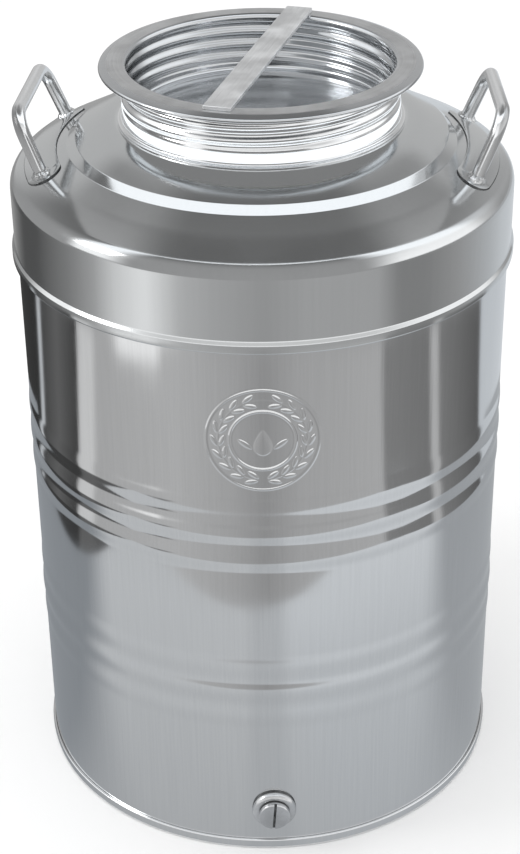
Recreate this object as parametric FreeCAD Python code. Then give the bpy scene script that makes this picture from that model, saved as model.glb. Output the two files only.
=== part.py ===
# Stainless steel drum for oil or grain: sheet barrel, screw lid and drain plug
# Millimetres, +Z up, origin on the drum's axis at the plane it stands on
# The drain faces -Y, and angles run from there, towards +X when seen from above
import FreeCAD, Part
import math
import os

from FreeCAD import Vector

# Driving dimensions of the barrel and its bottom
barrel_radius = 185.0
barrel_sheet = 0.6
barrel_top = 452.2
bottom_sheet = 0.6
bottom_recess = 10.0
bottom_crown = 3.0
chime_height = 8.4
chime_ease = 0.45
seam_gap = 0.1

# Ribs rolled outward into the barrel, in two groups of three
rib_group_heights = (154.0, 297.5)
rib_pitch = 23.3
rib_half_width = 10.0
rib_slopes = (0.076, 0.114, 0.076)

# Pressed shoulder, from the band over the barrel up to the platform round the neck
shoulder_sheet = 0.8
band_step = 2.0
band_height = 54.9
seam_bead_step = 4.0
seam_bead_height = 8.6
shoulder_corner = 14.0
shoulder_run = 25.3
shoulder_rise = 13.1
crown_slope = 0.423
step_foot_width = 41.5
step_run = 6.0
step_rise = 5.6
platform_rise = 11.5
platform_slope = 0.27

# Screw neck, with an inward rolled helical groove
neck_radius = 102.0
neck_sheet = 1.0
neck_height = 38.5
neck_foot_width = 3.4
neck_foot_bend = 2.4
neck_plain_height = 10.5
mouth_bend = 1.7
thread_pitch = 10.0
thread_depth = 2.5
thread_crest_rise = 18.7

# Screw lid: a pressed cup with a helical ridge and a flat flange
lid_sheet = 0.9
lid_clearance = 0.4
cup_depth = 43.5
lid_floor_corner = 4.0
flange_lip = 3.2
flange_width = 15.6
flange_edge_run = 6.1
flange_edge_drop = 2.0
flange_hem_drop = 5.0
flange_hem_width = 4.1
bar_end_margin = 9.1
bar_width = 20.0
bar_thickness = 3.0
bar_corner = 2.0
bar_angle = -17.4
gasket_thickness = 3.0
gasket_width = 5.0
gasket_clearance = 0.3

# Handles: bent rod on curved base plates
handle_angles = {"left": -95.6, "right": 87.0}
rod_diameter = 10.0
handle_foot_inset = 22.0
handle_span = 116.6
handle_lean = 21.5
handle_height = 50.0
handle_inset = 4.0
handle_bend = 15.0
plate_thickness = 1.2
plate_width = 24.0
plate_offset = -1.5
weld_gap = 0.05
weld_collar = 2.6
weld_height = 3.2

# Drain fitting low on the front
drain_height = 40.0
boss_rim = 2.2
boss_face_wall = 3.05
boss_stand_off = 5.8
boss_spigot_wall = 4.65
boss_depth_inside = 4.0
boss_hole_clearance = 0.1
plug_shank_radius = 10.3
plug_running_clearance = 0.05
plug_head_lip = 1.9
plug_head_thickness = 4.0
plug_edge = 1.2
plug_slot_width = 2.0
plug_slot_depth = 2.2
plug_slot_angle = 4.0
washer_lip = 1.7
washer_bore_clearance = 0.3
washer_thickness = 1.2
washer_gap = 0.1

# Sampling of the rolled thread: points per turn and height between rings
thread_points = 36
thread_row = 1.25

# Places that follow from the sizes above, from the floor up
band_radius = barrel_radius + band_step
seam_bead_radius = barrel_radius + seam_bead_step
band_top = barrel_top + band_height
crown_radius = band_radius - shoulder_run
crown_height = band_top + shoulder_rise
step_foot_radius = neck_radius + step_foot_width
step_foot_height = crown_height + crown_slope * (crown_radius - step_foot_radius)
step_edge_radius = step_foot_radius - step_run
step_edge_height = step_foot_height + step_rise
platform_height = step_edge_height + platform_rise
neck_foot_radius = neck_radius + neck_foot_width
neck_thread_low = platform_height + neck_plain_height
neck_top = platform_height + neck_height
thread_crest_height = platform_height + thread_crest_rise
flange_top = neck_top + gasket_thickness + 2 * gasket_clearance + lid_sheet
flange_radius = neck_radius + flange_width
lid_floor_top = flange_top - cup_depth
handle_foot_radius = band_radius - handle_foot_inset
handle_half_angle = math.degrees(math.asin(0.5 * handle_span / handle_foot_radius))
plate_inner_radius = handle_foot_radius + plate_offset - plate_width / 2
plate_outer_radius = handle_foot_radius + plate_offset + plate_width / 2
weld_radius = rod_diameter / 2 + weld_collar
boss_bore_radius = plug_shank_radius + plug_running_clearance
boss_face_radius = boss_bore_radius + boss_face_wall
boss_spigot_radius = boss_bore_radius + boss_spigot_wall
boss_radius = boss_spigot_radius + boss_rim
plug_head_radius = plug_shank_radius + plug_head_lip
washer_radius = plug_shank_radius + washer_lip

origin = Vector(0, 0, 0)
up = Vector(0, 0, 1)
out_of_drain = Vector(0, -1, 0)
solids = {}


# Sheet outlines: a path of (radius, height, bend) points, thickened to one side
def direction(a, b):
    length = math.hypot(b[0] - a[0], b[1] - a[1])
    return (b[0] - a[0]) / length, (b[1] - a[1]) / length


def shifted(path, distance):
    """The path moved to the left of its own direction, with its bends adjusted."""
    moved = []
    last = len(path) - 1
    for i, point in enumerate(path):
        before = direction(path[max(i - 1, 0)], path[max(i, 1)])
        after = direction(path[min(i, last - 1)], path[min(i + 1, last)])
        turn = before[0] * after[1] - before[1] * after[0]
        along = before[0] * after[0] + before[1] * after[1]
        miter = distance / (1 + along)
        radius = point[0] - miter * (before[1] + after[1])
        height = point[1] + miter * (before[0] + after[0])
        bend = point[2] - distance * (1 if turn > 0 else -1) if point[2] else 0
        moved.append((radius, height, bend))
    return moved


def at(point):
    return Vector(0, point[0], point[1])


def rounded(path):
    """Edges of the path in the plane behind the axis, each bend as a tangent arc."""
    edges = []
    start = path[0][:2]
    for i in range(1, len(path) - 1):
        corner = path[i][:2]
        before = direction(path[i - 1], path[i])
        after = direction(path[i], path[i + 1])
        turn = before[0] * after[1] - before[1] * after[0]
        along = before[0] * after[0] + before[1] * after[1]
        half = math.atan2(abs(turn), along) / 2
        reach = path[i][2] * math.tan(half)
        arc_start = (corner[0] - before[0] * reach, corner[1] - before[1] * reach)
        arc_end = (corner[0] + after[0] * reach, corner[1] + after[1] * reach)
        edges.append(Part.LineSegment(at(start), at(arc_start)).toShape())
        if reach:
            inward = (after[0] - before[0], after[1] - before[1])
            depth = path[i][2] * (1 / math.cos(half) - 1) / math.hypot(*inward)
            middle = (corner[0] + inward[0] * depth, corner[1] + inward[1] * depth)
            edges.append(Part.Arc(at(arc_start), at(middle), at(arc_end)).toShape())
        start = arc_end
    edges.append(Part.LineSegment(at(start), at(path[-1])).toShape())
    return edges


def sheet_section(path, near, far):
    """The face between the path moved by near and by far."""
    one_side = shifted(path, near)
    other_side = shifted(path, far)[::-1]
    edges = rounded(one_side)
    edges.append(Part.LineSegment(at(one_side[-1]), at(other_side[0])).toShape())
    edges += rounded(other_side)
    edges.append(Part.LineSegment(at(other_side[-1]), at(one_side[0])).toShape())
    return Part.Face(Part.Wire(edges))


def turned(shape):
    return shape.revolve(origin, up, 360)


def turned_polygon(points):
    corners = [at(point) for point in points]
    return turned(Part.Face(Part.makePolygon(corners + corners[:1])))


def bearing(angle, radius, height=0.0):
    """A point at this angle from the drain side."""
    a = math.radians(angle)
    return Vector(radius * math.sin(a), -radius * math.cos(a), height)


# Barrel: one rolled sheet with ribs, hooked into both double seams
def rib(centre, slope):
    crown = rib_half_width * slope
    crown_bend = 0.6 * rib_half_width / slope
    return [
        (barrel_radius, centre - rib_half_width, 0),
        (barrel_radius + crown, centre, crown_bend),
        (barrel_radius, centre + rib_half_width, 0),
    ]


chime_layer = bottom_sheet + 2 * seam_gap
chime_hook = barrel_radius + chime_layer
hook_floor = bottom_sheet + seam_gap + barrel_sheet
top_hook = seam_bead_radius - shoulder_sheet - 0.35 - barrel_sheet


def barrel_path():
    path = [
        (chime_hook, chime_height - 2.4, 0),
        (chime_hook, hook_floor, 0),
        (barrel_radius, hook_floor, 0),
    ]
    for group in rib_group_heights:
        for row, slope in enumerate(rib_slopes):
            path += rib(group + (row - 1) * rib_pitch, slope)
    under_flange = barrel_top - barrel_sheet
    path += [
        (barrel_radius, under_flange, 0),
        (top_hook, under_flange, 0),
        (top_hook, barrel_top - 5.3, 0),
    ]
    return path


barrel = turned(sheet_section(barrel_path(), 0, barrel_sheet))
drain_hole = Part.makeCylinder(
    boss_spigot_radius + boss_hole_clearance, 30, Vector(0, -barrel_radius + 15, drain_height), out_of_drain
)
solids["barrel_shell"] = barrel.cut(drain_hole)


# Bottom pan: recessed disc, its rim folded round the barrel's lower hook
def bottom_path():
    pan_face = barrel_radius - barrel_sheet - seam_gap
    seam_face = chime_hook + barrel_sheet + seam_gap + bottom_sheet
    return [
        (0, bottom_recess + bottom_crown, 0),
        (pan_face - bottom_sheet - 5.0, bottom_recess + 1.0, 0),
        (pan_face - bottom_sheet - 1.5, bottom_recess - 0.5, 0),
        (pan_face - bottom_sheet, bottom_recess - 4.0, 0),
        (pan_face - bottom_sheet, chime_ease, 0),
        (pan_face - bottom_sheet + chime_ease, 0, 0),
        (seam_face - chime_ease, 0, 0),
        (seam_face, chime_ease, 0),
        (seam_face, chime_height - chime_ease, 0),
        (seam_face - chime_ease, chime_height, 0),
        (barrel_radius + seam_gap, chime_height, 0),
        (barrel_radius + seam_gap, hook_floor + 1.0, 0),
    ]


solids["bottom_pan"] = turned(sheet_section(bottom_path(), 0, bottom_sheet))


# Shoulder: platform round the neck, a step, a crowned slope, the band and its seam hook
def shoulder_path():
    bead_bottom = barrel_top + 1.6 - seam_bead_height
    seat_radius = neck_foot_radius + 1.6
    mid_platform = 0.5 * (neck_radius + step_edge_radius)
    hole_radius = neck_radius - neck_sheet
    return [
        (hole_radius, platform_height, 0),
        (seat_radius, platform_height, 0),
        (mid_platform, platform_height - platform_slope * (mid_platform - seat_radius), 0),
        (step_edge_radius, step_edge_height, 2.5),
        (step_foot_radius, step_foot_height, 2.5),
        (crown_radius, crown_height, 0),
        (band_radius, band_top, shoulder_corner),
        (band_radius, barrel_top + 1.8, 0),
        (seam_bead_radius, barrel_top + 0.2, 0),
        (seam_bead_radius, bead_bottom + 0.8, 0),
        (seam_bead_radius - 0.8, bead_bottom, 0),
        (barrel_radius + seam_gap, bead_bottom, 0),
        (barrel_radius + seam_gap, barrel_top - 2.0, 0),
    ]


solids["shoulder_dome"] = turned(sheet_section(shoulder_path(), 0, -shoulder_sheet))


# Rolled thread: one wave wound right-handed round the axis, shared by neck and lid
def ridge(height, angle):
    """1 on the crest of the ridge and 0 in the valley, at this angle from the drain side."""
    return 0.5 + 0.5 * math.cos(2 * math.pi * ((height - thread_crest_height) / thread_pitch - angle / 360))


def fading(height, low, high):
    run = 0.6 * thread_pitch
    share = max(0.0, min(1.0, (height - low) / run, (high - height) / run))
    return share * share * (3 - 2 * share)


def ring(radius_at, height):
    """A level ring through equally spaced points, with its radius as a function of the angle."""
    spacing = [k / thread_points for k in range(thread_points + 1)]
    angles = [180 + 360.0 * k / thread_points for k in range(thread_points)]
    curve = Part.BSplineCurve()
    points = [bearing(angle, radius_at(height, angle), height) for angle in angles]
    curve.interpolate(points, PeriodicFlag=True, Parameters=spacing)
    return curve.toShape()


def skinned(rings, ends):
    """A solid from straight strips between neighbouring rings and the faces at the ends."""
    strips = [Part.makeRuledSurface(low, high) for low, high in zip(rings, rings[1:])]
    skin = Part.Compound(strips + ends)
    skin.sewShape()
    solid = Part.Solid(skin.Shells[0])
    return solid if solid.Volume > 0 else Part.Solid(skin.Shells[0].reversed())


def wall_rings(radius_at, low, high):
    """Rings up a rolled wall, from low to high."""
    rows = int(math.ceil((high - low) / thread_row))
    return [ring(radius_at, low + (high - low) * row / rows) for row in range(rows + 1)]


def plain_rings(edges):
    """Rings through the far ends of a chain of edges, with arcs in short steps."""
    rings = []
    for edge in edges:
        steps = 4 if edge.Curve.TypeId == "Part::GeomCircle" else 2
        for point in edge.discretize(steps)[1:]:
            rings.append(ring(lambda height, angle, radius=point.y: radius, point.z))
    return rings


def round_the_end(path, near, far):
    """Edges along one side of the sheet, across its cut edge and back along the other side."""
    one_side = shifted(path, near)
    other_side = shifted(path, far)[::-1]
    cut_edge = Part.LineSegment(at(one_side[-1]), at(other_side[0])).toShape()
    return rounded(one_side) + [cut_edge] + rounded(other_side)


# Neck: rolled groove between a flared foot and a curled mouth
neck_wall_low = neck_thread_low - 1.0
neck_wall_high = neck_top - 2 * mouth_bend


def neck_outer(height, angle):
    groove = thread_depth * fading(height, neck_thread_low, neck_wall_high) * (1 - ridge(height, angle))
    return neck_radius - groove


def neck_inner(height, angle):
    return neck_outer(height, angle) - neck_sheet


def neck():
    seat = platform_height + weld_gap
    foot_path = [
        (neck_radius, neck_wall_low, 0),
        (neck_radius, seat + neck_sheet, neck_foot_bend),
        (neck_foot_radius, seat + neck_sheet, 0),
    ]
    curl = neck_radius + 2 * mouth_bend - neck_sheet
    mouth_path = [
        (neck_radius, neck_wall_high, 0),
        (neck_radius, neck_top - neck_sheet, 0.98 * (mouth_bend - neck_sheet)),
        (curl, neck_top - neck_sheet, 0.98 * (mouth_bend - neck_sheet)),
        (curl, neck_top - neck_sheet - 1.5 * mouth_bend, 0),
    ]
    foot = plain_rings(round_the_end(foot_path, 0, -neck_sheet))[:-1]
    mouth = plain_rings(round_the_end(mouth_path, 0, neck_sheet))[:-1]
    outside = wall_rings(neck_outer, neck_wall_low, neck_wall_high)
    inside = wall_rings(neck_inner, neck_wall_low, neck_wall_high)
    around = outside + mouth + inside[::-1] + foot[::-1]
    return skinned(around + around[:1], [])


solids["neck_ring"] = neck()

# Lid cup: floor, rolled wall and flange pressed from one disc
lid_radius = neck_radius - neck_sheet - thread_depth - lid_clearance
lid_wall_low = lid_floor_top + lid_floor_corner
lid_wall_high = flange_top - flange_lip - 0.5


def lid_outer(height, angle):
    return lid_radius + thread_depth * fading(height, lid_wall_low, lid_wall_high) * ridge(height, angle)


def lid_inner(height, angle):
    return lid_outer(height, angle) - lid_sheet


def lid():
    bore = lid_radius - lid_sheet
    floor_path = [
        (bore, lid_wall_low, 0),
        (bore, lid_floor_top, lid_floor_corner - 0.2),
        (bore - 2 * lid_floor_corner, lid_floor_top, 0),
    ]
    flange_path = [
        (bore, lid_wall_high, 0),
        (bore, flange_top, flange_lip),
        (flange_radius - flange_edge_run, flange_top, 14.0),
        (flange_radius, flange_top - flange_edge_drop, 1.8),
        (flange_radius, flange_top - flange_hem_drop, 1.4),
        (flange_radius - flange_hem_width, flange_top - flange_hem_drop, 0),
    ]
    floor_top = plain_rings(rounded(floor_path))
    floor_bottom = plain_rings(rounded(shifted(floor_path, lid_sheet)))
    flange = plain_rings(round_the_end(flange_path, 0, -lid_sheet))[:-1]
    outside = wall_rings(lid_outer, lid_wall_low, lid_wall_high)
    inside = wall_rings(lid_inner, lid_wall_low, lid_wall_high)
    discs = [Part.Face(Part.Wire(floor_top[-1])), Part.Face(Part.Wire(floor_bottom[-1]))]
    return skinned(floor_top[::-1] + inside + flange + outside[::-1] + floor_bottom, discs)


solids["lid_cup"] = lid()


# Cross bar spot-welded over the flange, to turn the lid by
def cross_bar():
    half_length = flange_radius - bar_end_margin
    bar = Part.makeBox(
        bar_width, 2 * half_length, bar_thickness, Vector(-bar_width / 2, -half_length, flange_top)
    )
    uprights = [e for e in bar.Edges if abs(e.tangentAt(e.FirstParameter).z) > 0.99]
    bar = bar.makeFillet(bar_corner, uprights)
    rims = [e for e in bar.Edges if abs(e.CenterOfMass.z - flange_top - bar_thickness) < 1e-6]
    bar = bar.makeChamfer(0.4, rims)
    bar.rotate(origin, up, bar_angle)
    return bar


solids["lid_bar"] = cross_bar()


# Gasket: flat ring between the neck's mouth and the flange
def gasket():
    inner = lid_radius + flange_lip - lid_sheet
    low = neck_top + gasket_clearance
    ring = [
        (inner, low),
        (inner + gasket_width, low),
        (inner + gasket_width, low + gasket_thickness),
        (inner, low + gasket_thickness),
    ]
    return turned_polygon(ring)


solids["lid_gasket"] = gasket()


# Handle base plates: curved strips that follow the shoulder's slope
def slope_path():
    """The shoulder's outer face, which carries the plates and the rod feet."""
    return [
        (step_foot_radius, step_foot_height, 0),
        (crown_radius, crown_height, 0),
        (band_radius, band_top, 0),
    ]


def strip_outline(middle_angle):
    """Plan outline of a plate: a strip of a ring with round ends."""
    first = middle_angle - handle_half_angle
    last = middle_angle + handle_half_angle
    half = (plate_outer_radius - plate_inner_radius) / 2
    centre = (plate_outer_radius + plate_inner_radius) / 2
    cap = math.degrees(half / centre)
    edges = [
        Part.Arc(
            bearing(first, plate_outer_radius),
            bearing(middle_angle, plate_outer_radius),
            bearing(last, plate_outer_radius),
        ).toShape(),
        Part.Arc(
            bearing(last, plate_outer_radius),
            bearing(last + cap, centre),
            bearing(last, plate_inner_radius),
        ).toShape(),
        Part.Arc(
            bearing(last, plate_inner_radius),
            bearing(middle_angle, plate_inner_radius),
            bearing(first, plate_inner_radius),
        ).toShape(),
        Part.Arc(
            bearing(first, plate_inner_radius),
            bearing(first - cap, centre),
            bearing(first, plate_outer_radius),
        ).toShape(),
    ]
    return Part.Face(Part.Wire(edges))


def base_plate(middle_angle):
    ring = turned(sheet_section(slope_path(), weld_gap, weld_gap + plate_thickness))
    outline = strip_outline(middle_angle)
    outline.translate(Vector(0, 0, crown_height - 40))
    return ring.common(outline.extrude(Vector(0, 0, 80)))


# Handles: round rod bent into a loop that leans outward, with a weld round each foot
def handle(middle_angle):
    foot_height = band_top + shoulder_rise / shoulder_run * (band_radius - handle_foot_radius)
    first = bearing(middle_angle - handle_half_angle, handle_foot_radius, foot_height)
    last = bearing(middle_angle + handle_half_angle, handle_foot_radius, foot_height)
    along = (last - first).normalize()
    lean = math.radians(handle_lean)
    rise = up * math.cos(lean) + bearing(middle_angle, 1) * math.sin(lean)
    leg = (rise * handle_height + along * handle_inset).normalize()
    other_leg = (rise * handle_height - along * handle_inset).normalize()
    corner = first + rise * handle_height + along * handle_inset
    other_corner = last + rise * handle_height - along * handle_inset
    turn = math.acos(leg.dot(along))
    reach = handle_bend * math.tan(turn / 2)
    depth = handle_bend * (1 / math.cos(turn / 2) - 1)
    root = first - leg * 6
    other_root = last - other_leg * 6

    def bend_edge(point, incoming, outgoing):
        middle = point + (outgoing - incoming).normalize() * depth
        return Part.Arc(point - incoming * reach, middle, point + outgoing * reach).toShape()

    spine = Part.Wire([
        Part.LineSegment(root, corner - leg * reach).toShape(),
        bend_edge(corner, leg, along),
        Part.LineSegment(corner + along * reach, other_corner - along * reach).toShape(),
        bend_edge(other_corner, along, other_leg * -1),
        Part.LineSegment(other_corner - other_leg * reach, other_root).toShape(),
    ])
    circle = Part.Wire(Part.makeCircle(rod_diameter / 2, root, leg))
    rod = spine.makePipeShell([circle], True, False)
    welds = []
    for foot, axis in ((first, leg), (last, other_leg)):
        low = foot - axis * 4
        top = weld_height + plate_thickness
        welds.append(Part.makeCylinder(weld_radius, 4.0 + plate_thickness, low, axis))
        welds.append(Part.makeCone(weld_radius, rod_diameter / 2 - 0.2, top, foot + axis * plate_thickness, axis))
    below = turned(sheet_section(slope_path(), -30, 2 * weld_gap + plate_thickness))
    return rod.fuse(welds).cut(below)


for side, middle_angle in handle_angles.items():
    solids["handle_plate_" + side] = base_plate(middle_angle)
    solids["handle_" + side] = handle(middle_angle)


# Drain fitting: welded boss, washer and slotted plug, turned about the drain's axis
def turned_on_drain(points):
    """A solid turned about the drain's axis from (radius, distance from the drum's axis) points."""
    corners = [Vector(radius, -distance, drain_height) for radius, distance in points]
    face = Part.Face(Part.makePolygon(corners + corners[:1]))
    return face.revolve(Vector(0, 0, drain_height), out_of_drain, 360)


boss_face = barrel_radius + boss_stand_off
washer_low = boss_face + washer_gap
head_low = washer_low + washer_thickness + washer_gap


def drain_boss():
    bore = boss_bore_radius
    inside = barrel_radius - barrel_sheet - boss_depth_inside
    dome = turned_on_drain([
        (bore, inside),
        (boss_radius, inside),
        (boss_radius, barrel_radius + 2.2),
        (boss_radius - 0.5, barrel_radius + 3.6),
        (boss_radius - 1.7, barrel_radius + 4.9),
        (boss_face_radius, boss_face),
        (bore, boss_face),
    ])
    room = Part.makeCylinder(barrel_radius + weld_gap, 80, Vector(0, 0, drain_height - 40))
    spigot = turned_on_drain([
        (bore, inside),
        (boss_spigot_radius, inside),
        (boss_spigot_radius, barrel_radius + 1.5),
        (bore, barrel_radius + 1.5),
    ])
    return dome.cut(room).fuse(spigot)


def drain_plug():
    tip = barrel_radius - barrel_sheet - boss_depth_inside - 1.0
    head_top = head_low + plug_head_thickness
    body = turned_on_drain([
        (0, tip),
        (plug_shank_radius - 1.2, tip),
        (plug_shank_radius, tip + 1.2),
        (plug_shank_radius, head_low),
        (plug_head_radius, head_low),
        (plug_head_radius, head_top - plug_edge),
        (plug_head_radius - 0.35 * plug_edge, head_top - 0.35 * plug_edge),
        (plug_head_radius - plug_edge, head_top),
        (0, head_top),
    ])
    slot = Part.makeBox(
        plug_slot_width,
        plug_slot_depth + 2,
        3 * plug_head_radius,
        Vector(-plug_slot_width / 2, -head_top - 2, drain_height - 1.5 * plug_head_radius),
    )
    slot.rotate(Vector(0, 0, drain_height), Vector(0, 1, 0), plug_slot_angle)
    return body.cut(slot)


def plug_washer():
    bore = plug_shank_radius + washer_bore_clearance
    return turned_on_drain([
        (bore, washer_low),
        (washer_radius, washer_low),
        (washer_radius, washer_low + washer_thickness),
        (bore, washer_low + washer_thickness),
    ])


solids["drain_boss"] = drain_boss()
solids["drain_plug"] = drain_plug()
solids["plug_washer"] = plug_washer()

# One STEP file per sub-part, named for its node
os.makedirs("parts", exist_ok=True)
for name, shape in solids.items():
    solid = shape.Solids[0] if len(shape.Solids) == 1 else shape
    print(name, "solids", len(shape.Solids), "valid", shape.isValid(), "cm3", round(shape.Volume / 1000, 2))
    solid.exportStep("parts/" + name + ".step")
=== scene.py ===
# %% [markdown]
# # A polished stainless steel drum
# The object is a 50-litre drum for oil or wine: a rolled barrel with ribs, a pressed
# shoulder, a screw lid with a cross bar, two rod handles and a drain plug. Nearly every
# surface is bare stainless steel, so there is almost no colour to paint. What the eye
# reads is shape and reflection, and both depend on smooth, exact curves.

# %% Load the frame
import math

import bmesh
import bpy
import numpy as np
from mathutils import Matrix, Vector


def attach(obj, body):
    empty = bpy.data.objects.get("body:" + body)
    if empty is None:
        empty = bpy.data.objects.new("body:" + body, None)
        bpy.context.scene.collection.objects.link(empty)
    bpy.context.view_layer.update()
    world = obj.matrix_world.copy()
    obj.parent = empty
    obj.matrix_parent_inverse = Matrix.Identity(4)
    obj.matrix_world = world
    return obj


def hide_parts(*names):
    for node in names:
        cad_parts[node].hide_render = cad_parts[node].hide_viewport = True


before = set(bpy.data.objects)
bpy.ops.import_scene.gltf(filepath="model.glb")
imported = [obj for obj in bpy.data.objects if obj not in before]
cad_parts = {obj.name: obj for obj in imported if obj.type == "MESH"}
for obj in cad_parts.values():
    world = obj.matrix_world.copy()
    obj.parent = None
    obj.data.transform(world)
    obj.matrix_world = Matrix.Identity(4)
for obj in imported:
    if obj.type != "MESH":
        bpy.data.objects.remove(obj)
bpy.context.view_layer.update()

# %% [markdown]
# ## Sizes
# The drum was measured once, and every piece below takes its place from these values, in
# millimetres. `MM` turns them into Blender's metres. The drain side faces -Y, and angles
# run from there towards +X, as on a compass seen from above.

# %% Sizes of the drum
MM = 0.001
BARREL_R, BARREL_TOP, BARREL_SHEET = 185.0, 452.2, 0.6
BAND_R, BAND_TOP = 187.0, 507.1
CROWN_R, CROWN_Z = 161.7, 520.2
FOOT_R, FOOT_Z = 143.5, 527.9
EDGE_R, EDGE_Z = 137.5, 533.5
PLATFORM_Z, SHOULDER_SHEET = 545.0, 0.8
NECK_R, NECK_TOP, NECK_SHEET = 102.0, 583.5, 1.0
FLANGE_R, FLANGE_TOP, LID_SHEET = 117.6, 588.0, 0.9
PITCH, DEPTH, CREST_Z, THREAD_GAP = 10.0, 2.5, 563.7, 0.4
HANDLE_ANGLES = {"left": -95.6, "right": 87.0}
ROD_R = 5.0
BAR_ANGLE = -17.4
DRAIN_Z = 40.0


def compass(angle, radius, height=0.0):
    """The point at this angle from the drain side, in millimetres."""
    a = math.radians(angle)
    return np.array([radius * math.sin(a), -radius * math.cos(a), height])


print("the drum's front is at", compass(0, BARREL_R))

# %% [markdown]
# ## Small helpers for materials
# A colour is written as a web hex value, as a painter would pick it on a screen. Blender's
# shaders work in linear light, so one function does that conversion. Another adds a node of
# any kind and fills its inputs, by name or by place. An input takes a number, a hex colour,
# a socket, or another node, and that keeps each material short enough to read.


# %% Colour and node helpers
def linear(code):
    """Turns an sRGB hex colour into the linear RGBA that a shader wants."""
    parts = [int(code[i:i + 2], 16) / 255 for i in (1, 3, 5)]
    return [c / 12.92 if c <= 0.04045 else ((c + 0.055) / 1.055) ** 2.4 for c in parts] + [1.0]


def shaded(code, share):
    """A hex colour with its three values scaled."""
    parts = [round(int(code[i:i + 2], 16) * share) for i in (1, 3, 5)]
    return "#" + "".join("%02x" % min(255, part) for part in parts)


def add_node(tree, kind, inputs=(), stops=(), **settings):
    """Adds a node with its settings, inputs and, for a ramp, its (position, colour) stops."""
    node = tree.nodes.new("ShaderNode" + kind)
    for key, value in settings.items():
        setattr(node, key, value)
    for key, value in inputs.items() if isinstance(inputs, dict) else enumerate(inputs):
        if isinstance(value, bpy.types.Node):
            value = next(socket for socket in value.outputs if socket.enabled)
        if isinstance(value, bpy.types.NodeSocket):
            tree.links.new(value, node.inputs[key])
        else:
            node.inputs[key].default_value = linear(value) if isinstance(value, str) else value
    if stops:
        marks = node.color_ramp.elements
        while len(marks) < len(stops):
            marks.new(0.5)
        for mark, (position, code) in zip(marks, stops):
            mark.position = position
            mark.color = linear(code)
    return node


def bare_material(name):
    """A node material with nothing in it yet."""
    material = bpy.data.materials.new(name)
    material.use_nodes = True
    material.node_tree.nodes.clear()
    return material, material.node_tree


def surfaced(material, inputs):
    """Ends a material in its shader, with these inputs, and its output."""
    tree = material.node_tree
    shader = add_node(tree, "BsdfPrincipled", inputs)
    add_node(tree, "OutputMaterial", {"Surface": shader})
    print("finish", material.name)
    return material


print("mid grey #808080 is", round(linear("#808080")[0], 3), "in linear light")

# %% [markdown]
# ## Mirror-polished stainless sheet
# The barrel, shoulder and neck are cold-rolled stainless steel, AISI 304, polished before
# rolling. Its colour is a faintly warm light grey, and it is metallic through and through.
# Polishing leaves hair-fine lines along the rolling direction, so a reflection is sharp
# across them and slightly drawn out along them. The lines are really a few hundredths of
# a millimetre apart: they are drawn 1.5 to 3 mm apart, as coarse as they need to be to show.
# Each is fifty times as long as it is wide. Thin sheet also never lies quite flat, which
# the slow waves of about 90 mm stand for, and smudges of 30 mm dull it here and there.


# %% Polished sheet
def polished_sheet(name, colour, roughness, lines_a_metre, line_strength, wave_strength, streak):
    """Polished stainless with fine upright lines and slow dents in the sheet."""
    material, tree = bare_material(name)
    place = add_node(tree, "TexCoord").outputs["Object"]
    upright = (lines_a_metre, lines_a_metre, lines_a_metre * 0.02)
    stretched = add_node(tree, "Mapping", {"Vector": place, "Scale": upright})
    lines = add_node(tree, "TexNoise", {
        "Vector": stretched, "Scale": 1.0, "Detail": 3.0, "Roughness": 0.6,
    })
    waves = add_node(tree, "TexNoise", {"Vector": place, "Scale": 11.0, "Detail": 1.0})
    smudges = add_node(tree, "TexNoise", {"Vector": place, "Scale": 34.0, "Detail": 4.0})
    blur = add_node(tree, "MapRange", {
        "Value": smudges, "From Min": 0.3, "From Max": 0.7,
        "To Min": roughness * 0.8, "To Max": roughness * 1.3,
    })
    fine = add_node(tree, "Bump", {
        "Height": lines, "Strength": line_strength, "Distance": 0.4 * MM,
    })
    slow = add_node(tree, "Bump", {
        "Height": waves, "Normal": fine, "Strength": wave_strength, "Distance": 4.0 * MM,
    })
    streaked = add_node(tree, "ValToRGB", [lines], stops=[
        (0.3, shaded(colour, 1 - streak)), (0.7, shaded(colour, 1 + streak)),
    ])
    return surfaced(material, {
        "Base Color": streaked, "Metallic": 1.0, "Roughness": blur, "Normal": slow,
    })


barrel_steel = polished_sheet(
    "mirror_polished_304_barrel", "#dadbdc", roughness=0.08, lines_a_metre=650.0,
    line_strength=0.032, wave_strength=0.045, streak=0.011,
)
shoulder_steel = polished_sheet(
    "mirror_polished_304_pressing", "#d8dadb", roughness=0.12, lines_a_metre=300.0,
    line_strength=0.008, wave_strength=0.07, streak=0.006,
)
neck_steel = polished_sheet(
    "polished_304_neck", "#eaebec", roughness=0.11, lines_a_metre=300.0,
    line_strength=0.004, wave_strength=0.015, streak=0.004,
)
lid_steel = polished_sheet(
    "polished_304_lid_cup", "#c9cbcd", roughness=0.13, lines_a_metre=300.0,
    line_strength=0.004, wave_strength=0.015, streak=0.004,
)
rod_steel = polished_sheet(
    "polished_304_rod", "#ecedee", roughness=0.19, lines_a_metre=500.0,
    line_strength=0.05, wave_strength=0.0, streak=0.012,
)

# %% [markdown]
# ## Brushed stainless
# The lid's flange was faced on a lathe and its bar was cut from brushed flat stock. Both
# scatter light across their scratches, so they look like an even matte grey from most
# sides. The scratches run round the flange, and lengthwise on the bar. Real ones are a
# tenth of a millimetre apart or less: here they are about 0.6 mm, which the render can show.


# %% Brushed finishes
SCRATCHES_A_METRE = 1600


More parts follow.
